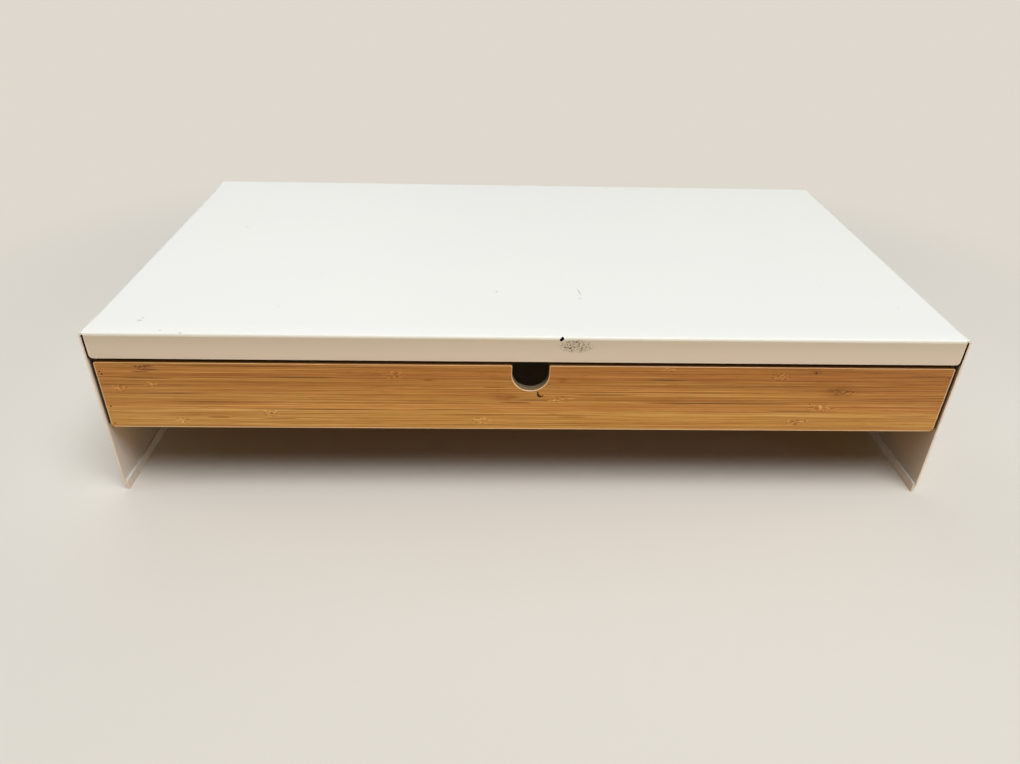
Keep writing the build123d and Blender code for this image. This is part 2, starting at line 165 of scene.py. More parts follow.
class Nodes:
    """Makes and joins the nodes of one tree. A socket or a plain value can stand for any input."""

    def __init__(self, tree):
        self.tree = tree

    def feed(self, socket, value):
        if isinstance(value, bpy.types.NodeSocket):
            self.tree.links.new(value, socket)
        elif socket.type == "RGBA" and len(value) == 3:
            socket.default_value = (*value, 1.0)
        else:
            socket.default_value = value

    def add(self, kind, inputs=None, **settings):
        node = self.tree.nodes.new("ShaderNode" + kind)
        for name, value in settings.items():
            setattr(node, name, value)
        for name, value in (inputs or {}).items():
            self.feed(node.inputs[name], value)
        return node

    def calc(self, operation, *values, clamp=False):
        node = self.add("Math", operation=operation, use_clamp=clamp)
        for socket, value in zip(node.inputs, values):
            self.feed(socket, value)
        return node.outputs[0]

    def vector_calc(self, operation, *values):
        node = self.add("VectorMath", operation=operation)
        for socket, value in zip(node.inputs, values):
            self.feed(socket, value)
        return node.outputs["Value" if operation in ("LENGTH", "DISTANCE") else "Vector"]

    def ramp(self, value, low, high, to_low=0.0, to_high=1.0):
        """Turns low..high into to_low..to_high, smoothly and no further."""
        inputs = {
            "Value": value,
            "From Min": low,
            "From Max": high,
            "To Min": to_low,
            "To Max": to_high,
        }
        return self.add("MapRange", inputs, interpolation_type="SMOOTHSTEP").outputs["Result"]

    def across(self, value, span, most=1.0):
        """A change over two millimetre values, which fades again if the span has two more."""
        change = self.ramp(value, span[0] * MM, span[1] * MM, 0.0, most)
        if len(span) == 2:
            return change
        fading = self.ramp(value, span[2] * MM, span[3] * MM, 1.0, 0.0)
        return self.calc("MULTIPLY", change, fading)

    def blend(self, share, first, second):
        node = self.add("Mix", data_type="RGBA")
        self.feed(node.inputs["Factor"], share)
        self.feed(node.inputs[6], first)
        self.feed(node.inputs[7], second)
        return node.outputs[2]

    def point(self, x=0.0, y=0.0, z=0.0):
        return self.add("CombineXYZ", {"X": x, "Y": y, "Z": z}).outputs["Vector"]

    def parts(self, vector):
        return self.add("SeparateXYZ", {"Vector": vector}).outputs

    def noise(self, vector, scale, detail=2.0, roughness=0.5):
        inputs = {"Vector": vector, "Scale": scale, "Detail": detail, "Roughness": roughness}
        return self.add("TexNoise", inputs).outputs["Fac"]

    def chance(self, vector):
        """Random colour of the cell that the vector points at."""
        return self.add("TexWhiteNoise", {"Vector": vector}, noise_dimensions="3D").outputs["Color"]

    def place(self, group, **inputs):
        node = self.add("Group", node_tree=group)
        for name, value in inputs.items():
            self.feed(node.inputs[name], value)
        return node.outputs

    def spot(self):
        """Place on the object, in metres, which moves with the body that the piece rides on."""
        return self.add("TexCoord").outputs["Object"]


def new_group(name, inputs, outputs):
    """A node group with named sockets: its nodes, what comes in and where the results go."""
    tree = bpy.data.node_groups.new(name, "ShaderNodeTree")
    for socket_name, kind, value in inputs:
        socket = tree.interface.new_socket(
            socket_name, in_out="INPUT", socket_type="NodeSocket" + kind
        )
        if value is not None:
            socket.default_value = value
    for socket_name, kind in outputs:
        tree.interface.new_socket(socket_name, in_out="OUTPUT", socket_type="NodeSocket" + kind)
    nodes = Nodes(tree)
    entry = tree.nodes.new("NodeGroupInput")
    result = tree.nodes.new("NodeGroupOutput")
    return nodes, entry.outputs, result.inputs, tree


def fine_texture_group():
    """Height of a fine, irregular grain, such as powder coat or moulded plastic has."""
    nodes, given, result, tree = new_group(
        "fine texture",
        [("Vector", "Vector", None), ("Grain", "Float", 0.4 * MM), ("Swell", "Float", 3 * MM)],
        [("Height", "Float")],
    )
    grain = nodes.noise(given["Vector"], nodes.calc("DIVIDE", 1.0, given["Grain"]), 3.0, 0.55)
    swell = nodes.noise(given["Vector"], nodes.calc("DIVIDE", 1.0, given["Swell"]), 2.0, 0.4)
    nodes.feed(result["Height"], nodes.calc("MULTIPLY_ADD", swell, 0.6, grain))
    return tree


def round_mark_group():
    """Mask of one soft-edged mark around a centre. Reach is its half size along each axis."""
    nodes, given, result, tree = new_group(
        "round mark",
        [
            ("Vector", "Vector", None),
            ("Centre", "Vector", None),
            ("Reach", "Vector", (MM, MM, MM)),
            ("Softness", "Float", 0.5),
            ("Before", "Float", 0.0),
        ],
        [("Mask", "Float")],
    )
    away = nodes.vector_calc("SUBTRACT", given["Vector"], given["Centre"])
    away = nodes.vector_calc("LENGTH", nodes.vector_calc("DIVIDE", away, given["Reach"]))
    core = nodes.calc("SUBTRACT", 1.0, given["Softness"])
    mask = nodes.ramp(away, core, 1.0, 1.0, 0.0)
    nodes.feed(result["Mask"], nodes.calc("MAXIMUM", mask, given["Before"]))
    return tree


def specks_group():
    """Mask of small scattered specks. Coverage is the share of the cells that hold one."""
    nodes, given, result, tree = new_group(
        "specks",
        [
            ("Vector", "Vector", None),
            ("Spacing", "Float", 2 * MM),
            ("Size", "Float", 0.25),
            ("Coverage", "Float", 0.1),
        ],
        [("Mask", "Float")],
    )
    cells = nodes.add(
        "TexVoronoi",
        {"Vector": given["Vector"], "Scale": nodes.calc("DIVIDE", 1.0, given["Spacing"])},
    )
    chance = nodes.parts(nodes.chance(cells.outputs["Position"]))
    there = nodes.calc("LESS_THAN", chance["X"], given["Coverage"])
    size = nodes.calc("MULTIPLY", given["Size"], nodes.calc("ADD", 0.4, chance["Y"]))
    dot = nodes.ramp(cells.outputs["Distance"], nodes.calc("MULTIPLY", size, 0.6), size, 1.0, 0.0)
    nodes.feed(result["Mask"], nodes.calc("MULTIPLY", dot, there))
    return tree


def knuckle_chance_group():
    """Mask of the knuckles of a bamboo board, at chance places along each strip."""
    nodes, given, result, tree = new_group(
        "chance knuckles",
        [
            ("Vector", "Vector", None),
            ("Strip", "Float", strip_height),
            ("Pitch", "Float", 0.24),
            ("Seed", "Float", 0.0),
        ],
        [("Mask", "Float")],
    )
    at = nodes.parts(given["Vector"])
    strip = nodes.calc("FLOOR", nodes.calc("DIVIDE", at["Y"], given["Strip"]))
    shift = nodes.parts(nodes.chance(nodes.point(strip, given["Seed"], 3.0)))
    along = nodes.calc("ADD", nodes.calc("DIVIDE", at["X"], given["Pitch"]), shift["X"])
    cell = nodes.calc("FLOOR", along)
    where = nodes.parts(nodes.chance(nodes.point(strip, given["Seed"], cell)))
    middle = nodes.calc("MULTIPLY_ADD", where["X"], 0.6, 0.2)
    off = nodes.calc("SUBTRACT", nodes.calc("FRACT", along), middle)
    off = nodes.calc("MULTIPLY", nodes.calc("ABSOLUTE", off), given["Pitch"])
    near = nodes.ramp(off, 1.5 * MM, 5 * MM, 1.0, 0.0)
    there = nodes.calc("LESS_THAN", where["Y"], 0.6)
    nodes.feed(result["Mask"], nodes.calc("MULTIPLY", near, there))
    return tree


def bamboo_group():
    """Glued bamboo strips. The vector runs along the grain in X, across the strips in Y."""
    nodes, given, result, tree = new_group(
        "bamboo strips",
        [
            ("Vector", "Vector", None),
            ("Strip", "Float", strip_height),
            ("Seed", "Float", 0.0),
            ("Pale", "Color", (*bamboo_pale, 1.0)),
            ("Golden", "Color", (*bamboo_golden, 1.0)),
            ("Deep", "Color", (*bamboo_deep, 1.0)),
            ("Knuckle", "Float", 0.0),
            ("Line", "Float", 0.0),
            ("Darker", "Float", 0.0),
            ("Arris", "Float", 0.0),
        ],
        [("Color", "Color"), ("Roughness", "Float"), ("Height", "Float")],
    )
    at = nodes.parts(given["Vector"])
    knuckle = given["Knuckle"]

    # Fibres run along the strips, wander a little, and curl round the knuckles
    sway = nodes.noise(nodes.point(nodes.calc("MULTIPLY", at["X"], 6.0), given["Seed"]), 1.0, 1.0)
    swirl = nodes.noise(
        nodes.point(
            nodes.calc("MULTIPLY", at["X"], 260.0),
            nodes.calc("MULTIPLY", at["Y"], 420.0),
            given["Seed"],
        ),
        1.0,
        1.0,
    )
    swirl = nodes.calc("MULTIPLY", knuckle, nodes.calc("SUBTRACT", swirl, 0.5))
    across = nodes.calc("MULTIPLY_ADD", sway, 0.5 * MM, at["Y"])
    share = nodes.calc("DIVIDE", across, given["Strip"])
    strip = nodes.calc("FLOOR", share)
    own = nodes.parts(nodes.chance(nodes.point(strip, given["Seed"], 7.0)))
    slide = nodes.calc("MULTIPLY", own["Z"], 3.0)
    bent = nodes.calc("MULTIPLY_ADD", swirl, 5 * MM, across)

    def streaks(along, wide, detail, roughness):
        """Noise drawn out along the grain, different in each strip."""
        spot = nodes.point(
            nodes.calc("MULTIPLY_ADD", at["X"], along, slide),
            nodes.calc("MULTIPLY", bent, wide),
            nodes.calc("MULTIPLY_ADD", at["Z"], wide, strip),
        )
        return nodes.noise(spot, 1.0, detail, roughness)

    bands = streaks(5.0, 330.0, 2.0, 0.5)
    streak = streaks(8.0, 1500.0, 3.0, 0.7)
    fibres = streaks(40.0, 3000.0, 3.0, 0.7)
    threads = streaks(6.0, 1900.0, 0.0, 0.5)
    dashes = streaks(90.0, 2600.0, 1.0, 0.5)

    edge = nodes.calc("ABSOLUTE", nodes.calc("SUBTRACT", nodes.calc("FRACT", share), 0.5))
    glue_run = nodes.noise(nodes.calc("MULTIPLY_ADD", at["X"], 14.0, slide), 1.0, 1.0)
    glue = nodes.calc("MULTIPLY", nodes.ramp(edge, 0.43, 0.49), nodes.ramp(glue_run, 0.48, 0.6))
    dark_thread = nodes.ramp(threads, 0.67, 0.73)
    light_thread = nodes.ramp(threads, 0.31, 0.26)
    dark_dash = nodes.ramp(dashes, 0.64, 0.74)
    depth = nodes.calc("MULTIPLY_ADD", own["X"], 0.2, given["Darker"])
    depth = nodes.calc("ADD", depth, nodes.ramp(bands, 0.32, 0.7, -0.04, 0.16))
    depth = nodes.calc("ADD", depth, nodes.ramp(streak, 0.3, 0.7, -0.32, 0.38))
    depth = nodes.calc("ADD", depth, nodes.ramp(fibres, 0.3, 0.7, -0.26, 0.26))
    for mask, weight in (
        (dark_thread, 0.7),
        (light_thread, -0.6),
        (dark_dash, 0.4),
        (glue, 0.45),
        (given["Line"], 1.5),
    ):
        depth = nodes.calc("MULTIPLY_ADD", mask, weight, depth)

    curl = nodes.noise(
        nodes.point(
            nodes.calc("MULTIPLY", at["X"], 420.0),
            nodes.calc("MULTIPLY", bent, 900.0),
            strip,
        ),
        1.0,
        2.0,
        0.6,
    )
    knuckle_dark = nodes.calc("MULTIPLY", knuckle, nodes.ramp(curl, 0.52, 0.6))
    knuckle_light = nodes.calc("MULTIPLY", knuckle, nodes.ramp(curl, 0.5, 0.4))
    depth = nodes.calc("MULTIPLY_ADD", knuckle_dark, 0.55, depth)
    depth = nodes.calc("MULTIPLY_ADD", knuckle_light, -0.75, depth)
    # Lighter arrises: partly sanded bamboo, partly painted highlight
    depth = nodes.calc("MULTIPLY_ADD", given["Arris"], -0.3, depth)

    light = nodes.calc("MULTIPLY", depth, -1.5, clamp=True)
    pale = nodes.blend(nodes.ramp(own["Y"], 0.25, 0.75), given["Pale"], given["Golden"])
    tone = nodes.blend(nodes.calc("ADD", depth, 0.0, clamp=True), pale, given["Deep"])
    tone = nodes.blend(nodes.calc("SUBTRACT", depth, 1.0, clamp=True), tone, bamboo_burnt)
    tone = nodes.blend(light, tone, bamboo_cream)
    nodes.feed(result["Color"], tone)
    nodes.feed(result["Roughness"], nodes.ramp(fibres, 0.3, 0.7, 0.36, 0.5))
    height = nodes.calc("MULTIPLY_ADD", dark_thread, -0.5, fibres)
    height = nodes.calc("MULTIPLY_ADD", glue, -0.6, height)
    height = nodes.calc("MULTIPLY_ADD", knuckle_dark, -0.5, height)
    height = nodes.calc("MULTIPLY_ADD", given["Line"], -0.8, height)
    nodes.feed(result["Height"], height)
    return tree


# Marks of the drawer's front, in millimetres. Knuckles and darker patches: X and Z of the middle,
# half length and half height
front_knuckles = [
    (-206.4, 84.0, 7.0, 2.4),
    (-204.4, 73.2, 5.0, 2.6),
    (-221.6, 70.2, 6.5, 3.4),
    (-192.3, 49.8, 6.0, 2.8),
    (-142.7, 54.8, 6.5, 3.4),
    (-73.7, 80.2, 7.5, 3.8),
    (-26.6, 50.8, 7.5, 3.6),
    (15.5, 65.2, 8.0, 3.2),
    (74.6, 85.0, 5.0, 1.8),
    (136.4, 80.6, 9.0, 3.6),
    (173.8, 71.0, 9.0, 3.0),
    (164.0, 60.4, 12.0, 3.0),
    (152.0, 51.0, 9.0, 3.6),
]
front_patches = [
    (-206.0, 83.6, 9.0, 3.2),
    (-55.5, 77.0, 4.0, 1.2),
    (17.0, 77.5, 5.0, 2.0),
    (155.8, 84.0, 5.0, 1.6),
    (172.0, 71.0, 12.0, 5.0),
    (-170.0, 61.5, 40.0, 1.6),
    (-14.0, 66.5, 12.0, 4.0),
]

# Dark lines along the grain: X from and to, Z and height
front_lines = [
    (-213.0, -199.0, 84.4, 0.6),
    (-209.0, -197.0, 82.2, 0.6),
    (-214.0, -203.0, 81.0, 0.6),
    (-222.0, -189.0, 77.1, 0.6),
    (-228.0, -170.0, 67.3, 0.5),
    (-205.0, -128.0, 61.9, 0.4),
    (-168.0, -68.0, 57.5, 0.6),
    (-68.0, -20.0, 57.9, 0.4),
    (-160.0, -100.0, 78.3, 0.35),
    (-179.0, -164.0, 51.9, 0.7),
    (-150.0, -127.0, 51.3, 0.5),
    (-27.0, -12.0, 72.9, 0.5),
    (-18.0, 2.0, 62.9, 0.6),
    (-8.0, 12.0, 64.6, 0.7),
    (62.0, 86.0, 78.1, 0.7),
    (22.0, 58.0, 68.1, 0.5),
    (55.0, 160.0, 63.1, 0.65),
    (130.0, 176.0, 58.0, 0.6),
    (14.0, 34.0, 53.4, 0.6),
    (196.0, 231.0, 55.0, 0.5),
]

# Pale scratches along the grain: X from and to, Z and height
front_scratches = [
    (11.0, 17.5, 64.5, 0.7),
    (15.5, 19.5, 65.3, 0.5),
    (19.5, 25.5, 65.8, 0.6),
    (-206.0, -202.0, 73.2, 0.9),
]

# Dark dots: X, Z and radius
front_dots = [
    (-229.8, 80.9, 0.65),
    (-228.9, 79.3, 0.75),
    (-229.2, 58.6, 0.7),
    (-229.6, 47.4, 0.5),
    (-17.5, 71.0, 0.35),
    (4.3, 69.5, 0.7),
    (4.4, 68.5, 0.9),
    (4.8, 67.5, 1.15),
    (5.8, 67.0, 1.0),
    (6.9, 67.3, 0.7),
    (10.3, 74.9, 0.4),
    (155.6, 83.3, 0.7),
    (156.6, 63.0, 0.5),
    (230.0, 80.7, 0.5),
    (230.0, 60.0, 0.4),
]
front_face = cad_box[0].y
stand_top = cad_box[1].z
board_reach = 20 * MM
board_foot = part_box("drawer_front")[0].z
board_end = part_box("drawer_front")[1].x
notch_radius = 10 * MM
notch_straight = 6 * MM
notch_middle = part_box("drawer_front")[1].z - notch_straight

fine_texture = fine_texture_group()
round_mark = round_mark_group()
specks = specks_group()
knuckle_chance = knuckle_chance_group()
bamboo_strips = bamboo_group()


def new_finish(name, **constants):
    """A material with a Principled shader whose plain values are set on its own sockets."""
    finish = bpy.data.materials.new(name)
    finish.use_nodes = True
    finish.node_tree.nodes.clear()
    nodes = Nodes(finish.node_tree)
    shader = nodes.add("BsdfPrincipled")
    output = nodes.add("OutputMaterial")
    nodes.tree.links.new(shader.outputs["BSDF"], output.inputs["Surface"])
    for socket, value in constants.items():
        nodes.feed(shader.inputs[socket.replace("_", " ")], value)
    return finish, nodes, shader.inputs


def raise_surface(nodes, shader, height, distance, strength=1.0):
    bump = nodes.add("Bump", {"Height": height, "Distance": distance, "Strength": strength})
    nodes.feed(shader["Normal"], bump.outputs["Normal"])


def powder_coat_finish(name, marked=False):
    """White powder coat. The stand's own coat also has marks of use, painted shade and highlights.
    """
    finish, nodes, shader = new_finish(name, IOR=1.5)
    spot = nodes.spot()
    height = nodes.place(fine_texture, Vector=spot, Grain=0.35 * MM, Swell=2.5 * MM)["Height"]
    dust_and_gap_shade = nodes.place(specks, Vector=spot, Spacing=14 * MM, Size=0.03, Coverage=0.35)["Mask"]
    tint = nodes.ramp(nodes.noise(spot, 6.0, 2.0), 0.3, 0.7)
    white = nodes.blend(tint, coat_white, coat_shade)
    white = nodes.blend(nodes.calc("MULTIPLY", dust_and_gap_shade, 0.35), white, dust_brown)
    roughness = nodes.ramp(height, 0.5, 1.1, 0.42, 0.54)
    if marked:
        # bare holds the chipped steel and the painted shade in the slots: both turn rough and
        # metallic
        white, height, bare = coat_marks(nodes, spot, white, height)
        roughness = nodes.calc("MAXIMUM", roughness, bare)
        nodes.feed(shader["Metallic"], bare)
    nodes.feed(shader["Base Color"], white)
    nodes.feed(shader["Roughness"], roughness)
    raise_surface(nodes, shader, height, 0.03 * MM, 0.6)
    return finish


def coat_marks(nodes, spot, white, height):
    """Coat tones with painted shade and highlights, specks, small damage, and painted shade in the
    slots.
    """
    axes = nodes.parts(spot)
    side = nodes.calc("ABSOLUTE", axes["X"])
    depth = nodes.calc("ABSOLUTE", axes["Y"])
    white = coat_tones(nodes, axes, side, depth, white)
    white = rubbed_cloud(nodes, spot, white)
    chip = chip_mask(nodes, spot)
    white = nodes.blend(chip, white, bare_dark)
    scratch = scratch_mask(nodes, spot)
    white = nodes.blend(nodes.calc("MULTIPLY", scratch, 0.5), white, scratch_grey)
    # Painted shade: the faces seen through the slots at the corners are made near black, and
    # metallic
    slot_shade = nodes.across(side, slot_across)
    slot_shade = nodes.calc("MULTIPLY", slot_shade, nodes.across(axes["Z"], slot_up))
    slot_shade = nodes.calc("MULTIPLY", slot_shade, nodes.across(depth, slot_deep))
    white = nodes.blend(slot_shade, white, slot_painted_shade)
    height = nodes.calc("MULTIPLY_ADD", chip, -2.0, height)
    return white, height, nodes.calc("MAXIMUM", chip, slot_shade)


def coat_tones(nodes, axes, side, depth, white):
    """Painted shade inside the legs, beside the drawer's front and at the bend; painted highlights
    on edges.
    """
    # Painted shade on the inner faces of the legs, starting deeper on the left leg
    inner = nodes.across(side, inside_across)
    left, right = inside_shift
    shift = nodes.ramp(axes["X"], -0.1, 0.1, left * MM, right * MM)
    inside_shade = nodes.across(nodes.calc("ADD", depth, shift), inside_deep)
    white = nodes.blend(nodes.calc("MULTIPLY", inner, inside_shade), white, inside_painted_shade)
    forward = nodes.calc("MULTIPLY", axes["Y"], -1.0)
    # Painted shade on the inner faces of the legs beside the ends of the drawer's front
    dust_and_gap_shade = nodes.calc("MULTIPLY", inner, nodes.across(forward, gap_deep))
    dust_and_gap_shade = nodes.calc("MULTIPLY", dust_and_gap_shade, nodes.across(axes["Z"], gap_up, 0.85))
    white = nodes.blend(dust_and_gap_shade, white, gap_painted_shade)

    normal = nodes.parts(nodes.add("TexCoord").outputs["Normal"])
    upward = nodes.ramp(normal["Z"], 0.5, 0.8)
    # Painted highlight on the top's front edge
    crest_highlight = nodes.calc("MULTIPLY", upward, nodes.across(forward, crest_deep, 0.22))
    white = nodes.blend(crest_highlight, white, painted_highlight_white)
    facing = nodes.ramp(nodes.calc("ABSOLUTE", normal["Y"]), 0.4, 0.7)
    front = nodes.calc("MULTIPLY", facing, nodes.across(depth, edge_deep))
    # Painted highlight on the flange's cut ends
    end_highlight = nodes.calc("MULTIPLY", front, nodes.across(side, flange_end_across, 0.5))
    white = nodes.blend(end_highlight, white, painted_highlight_white)
    # Painted shade on the flange's upper part, at its bend
    bend = nodes.calc("MULTIPLY", front, nodes.across(axes["Z"], flange_bend_up, 0.6))
    white = nodes.blend(bend, white, bend_painted_shade)
    # Painted highlight on the legs' front edges
    rim = nodes.calc("MULTIPLY", front, nodes.across(side, leg_rim_across))
    return nodes.blend(rim, white, painted_highlight_white)


def rubbed_cloud(nodes, spot, white):
    """A rubbed place on the front flange: dark and bright specks in a brownish cloud."""
    cloud = nodes.place(
        round_mark,
        Vector=spot,
        Centre=(rubbed_middle_x * MM, front_face, rubbed_middle_z * MM),
        Reach=tuple(reach * MM for reach in rubbed_reach),
        Softness=0.95,
    )["Mask"]
    fine = nodes.place(specks, Vector=spot, Spacing=0.75 * MM, Size=0.5, Coverage=0.8)["Mask"]
    fine = nodes.calc("MULTIPLY", fine, nodes.ramp(cloud, 0.05, 0.5, 0.0, 0.9))
    coarse = nodes.place(specks, Vector=spot, Spacing=1.5 * MM, Size=0.36, Coverage=0.75)["Mask"]
    coarse = nodes.calc("MULTIPLY", coarse, nodes.ramp(cloud, 0.2, 0.6))
    beside = nodes.vector_calc("ADD", spot, (0.5 * MM, 0.0, 0.4 * MM))
    bright = nodes.place(specks, Vector=beside, Spacing=1.3 * MM, Size=0.42, Coverage=0.85)["Mask"]
    bright = nodes.calc("MULTIPLY", bright, nodes.ramp(cloud, 0.15, 0.6))
    white = nodes.blend(nodes.ramp(cloud, 0.0, 0.8, 0.0, 0.3), white, dust_brown)
    white = nodes.blend(nodes.calc("MAXIMUM", fine, coarse), white, rubbed_dark)
    return nodes.blend(bright, white, rubbed_bright)


def chip_mask(nodes, spot):
    """Where the front bend's coat is chipped off."""
    chip = 0.0
    for x, z, half in coat_chips:
        chip = nodes.place(
            round_mark,
            Vector=spot,
            Centre=(x * MM, front_face, z * MM),
            Reach=(half * MM, 3 * half * MM, half * MM),
            Softness=0.15,
            Before=chip,
        )["Mask"]
    return chip


def scratch_mask(nodes, spot):
    """Short scratches and dots on the top."""
    scratch = 0.0
    for x, y, half_length, half_width, turn in top_scratches:
        away = nodes.vector_calc("SUBTRACT", spot, (x * MM, y * MM, stand_top))
        turned = nodes.add(
            "VectorRotate",
            {"Vector": away, "Angle": math.radians(turn)},
            rotation_type="Z_AXIS",
        ).outputs["Vector"]
        scratch = nodes.place(
            round_mark,
            Vector=turned,
            Reach=(half_length * MM, half_width * MM, MM),
            Softness=0.7,
            Before=scratch,
        )["Mask"]
    return scratch


def bamboo_finish(name, along, across, through, seed, strip=strip_height, lift=0.0, marks=None):
    """Lacquered bamboo. along, across and through say which axis of the object each one is."""
    finish, nodes, shader = new_finish(name, IOR=1.5, Coat_Roughness=0.3)
    spot = nodes.spot()
    axes = nodes.parts(spot)
    grain = nodes.point(axes[along], nodes.calc("ADD", axes[across], lift), axes[through])
    facing = nodes.calc("ABSOLUTE", nodes.parts(nodes.add("TexCoord").outputs["Normal"])[through])
    # The rounded edges get lighter wood: partly sanded bamboo, partly painted highlight
    arris = nodes.calc("MULTIPLY", nodes.ramp(facing, 0.3, 0.6), nodes.ramp(facing, 0.98, 0.9))
    given = {"Vector": grain, "Strip": strip, "Seed": seed, "Arris": arris}
    if marks:
        given.update(marks(nodes, spot))
    else:
        given["Knuckle"] = nodes.place(knuckle_chance, Vector=grain, Strip=strip, Seed=seed)["Mask"]
    wood = nodes.place(bamboo_strips, **given)
    tone = wood["Color"]
    if marks:
        tone, pit = front_wear_and_painted_light(nodes, spot, tone, arris)
        nodes.feed(shader["Metallic"], pit)
    nodes.feed(shader["Base Color"], tone)
    nodes.feed(shader["Roughness"], wood["Roughness"])
    nodes.feed(shader["Coat Weight"], 0.15)
    raise_surface(nodes, shader, wood["Height"], 0.04 * MM, 0.5)
    return finish


def marks_on_front(nodes, spot, places, softness):
    """One mask of marks, each with its middle X and Z and its half sizes, in millimetres."""
    mask = 0.0
    for x, z, half_length, half_height in places:
        mask = nodes.place(
            round_mark,
            Vector=spot,
            Centre=(x * MM, front_face, z * MM),
            Reach=(half_length * MM, board_reach, half_height * MM),
            Softness=softness,
            Before=mask,
        )["Mask"]
    return mask


def lines_as_marks(lines):
    """Middle and half sizes of each line."""
    return [
        ((start + end) / 2, z, (end - start) / 2, height / 2)
        for start, end, z, height in lines
    ]


def front_marks(nodes, spot):
    """The knuckles and dark lines of this very front, and painted shade that darkens it upwards."""

    def marks(places, softness):
        return marks_on_front(nodes, spot, places, softness)

    axes = nodes.parts(spot)
    ragged = nodes.vector_calc("MULTIPLY", spot, (180.0, 180.0, 900.0))
    ragged = nodes.ramp(nodes.noise(ragged, 1.0, 2.0), 0.3, 0.55, 0.3, 1.0)
    knuckle = nodes.calc("MULTIPLY", marks(front_knuckles, 0.7), ragged)
    dark_line = marks(lines_as_marks(front_lines), 0.35)
    # Painted shade: the front darkens upwards and to the right
    darker = nodes.ramp(axes["Z"], 48 * MM, 84 * MM, -0.17, 0.38)
    darker = nodes.calc("ADD", darker, nodes.ramp(axes["X"], -0.05, 0.23, 0.0, 0.23))
    patch = nodes.calc("MULTIPLY", marks(front_patches, 0.9), nodes.calc("MULTIPLY", ragged, 0.55))
    darker = nodes.calc("ADD", darker, patch)
    return {"Knuckle": knuckle, "Line": dark_line, "Darker": darker}


def front_wear_and_painted_light(nodes, spot, tone, arris):
    """Pale scratches, dark dots, the notch's bare wall, painted shade on the top edge, painted
    highlights.
    """
    scratches = marks_on_front(nodes, spot, lines_as_marks(front_scratches), 0.7)
    tone = nodes.blend(nodes.calc("MULTIPLY", scratches, 0.8), tone, bamboo_cream)
    up = nodes.parts(nodes.add("TexCoord").outputs["Normal"])["Z"]
    # Painted shade: the up-facing top edge is darkened towards burnt bamboo
    tone = nodes.blend(nodes.ramp(up, 0.6, 0.85, 0.0, 0.65), tone, bamboo_burnt)
    dots = [(x, z, size, size) for x, z, size in front_dots]
    pit = marks_on_front(nodes, spot, dots, 0.6)
    tone = nodes.blend(pit, tone, dot_dark)
    # Painted highlight: the lower arrises are lightened towards pale bamboo
    lower_arris_highlight = nodes.calc("MULTIPLY", arris, nodes.ramp(up, -0.2, -0.5, 0.3, 0.8))
    tone = nodes.blend(nodes.calc("MULTIPLY", lower_arris_highlight, nodes.ramp(up, 0.75, 0.55)), tone, bamboo_painted_highlight)

    axes = nodes.parts(spot)
    below = nodes.calc("MINIMUM", nodes.calc("SUBTRACT", axes["Z"], notch_middle), 0.0)
    away = nodes.vector_calc("LENGTH", nodes.point(axes["X"], below))
    away = nodes.calc("SUBTRACT", away, notch_radius)
    behind = nodes.calc("SUBTRACT", axes["Y"], front_face)
    before = nodes.ramp(behind, 0.5 * MM, 0.3 * MM)
    # Painted highlights on the front face: the notch's rim, the board's ends and its lower edge
    rim = nodes.calc("MULTIPLY", nodes.ramp(away, 0.6 * MM, 0.3 * MM), 0.42)
    side = nodes.calc("ABSOLUTE", axes["X"])
    ends = nodes.ramp(side, board_end - 1.0 * MM, board_end - 0.5 * MM, 0.0, 0.75)
    foot = nodes.ramp(axes["Z"], board_foot + 1.1 * MM, board_foot + 0.7 * MM, 0.0, 0.9)
    rim = nodes.calc("MAXIMUM", rim, nodes.calc("MAXIMUM", ends, foot))
    tone = nodes.blend(nodes.calc("MULTIPLY", rim, before), tone, bamboo_painted_highlight)
    wall = nodes.ramp(away, 0.3 * MM, 0.1 * MM)
    wall = nodes.calc("MULTIPLY", wall, nodes.ramp(behind, 0.4 * MM, 0.8 * MM))
    return nodes.blend(nodes.calc("MULTIPLY", wall, 0.9), tone, end_grain), pit


def moulded_finish(name, colour, roughness, grain=0.3 * MM, ledge_shade=0.0):
    """Moulded plastic or rubber: a fine grain, slight changes of tone, and painted shade on its
    ledges.
    """
    finish, nodes, shader = new_finish(name, IOR=1.46)
    spot = nodes.spot()
    height = nodes.place(fine_texture, Vector=spot, Grain=grain, Swell=4 * MM)["Height"]
    darker = tuple(0.88 * part for part in colour)
    tone = nodes.blend(nodes.ramp(nodes.noise(spot, 60.0), 0.3, 0.7), colour, darker)
    up = nodes.parts(nodes.add("TexCoord").outputs["Normal"])["Z"]
    # Painted shade: up-facing ledges are darkened towards dust_brown, by the ledge share
    tone = nodes.blend(nodes.ramp(up, 0.4, 0.8, 0.0, ledge_shade), tone, dust_brown)
    nodes.feed(shader["Base Color"], tone)
    nodes.feed(shader["Roughness"], nodes.ramp(height, 0.5, 1.1, roughness, roughness + 0.12))
    raise_surface(nodes, shader, height, 0.03 * MM, 0.5)
    return finish


def zinc_finish(name):
    finish, nodes, shader = new_finish(name, Metallic=1.0)
    spot = nodes.spot()
    cloud = nodes.noise(spot, 900.0, 3.0)
    tone = nodes.blend(nodes.ramp(cloud, 0.3, 0.7), zinc_bright, zinc_dull)
    nodes.feed(shader["Base Color"], tone)
    nodes.feed(shader["Roughness"], nodes.ramp(cloud, 0.3, 0.7, 0.26, 0.42))
    raise_surface(nodes, shader, cloud, 0.02 * MM, 0.4)
    return finish


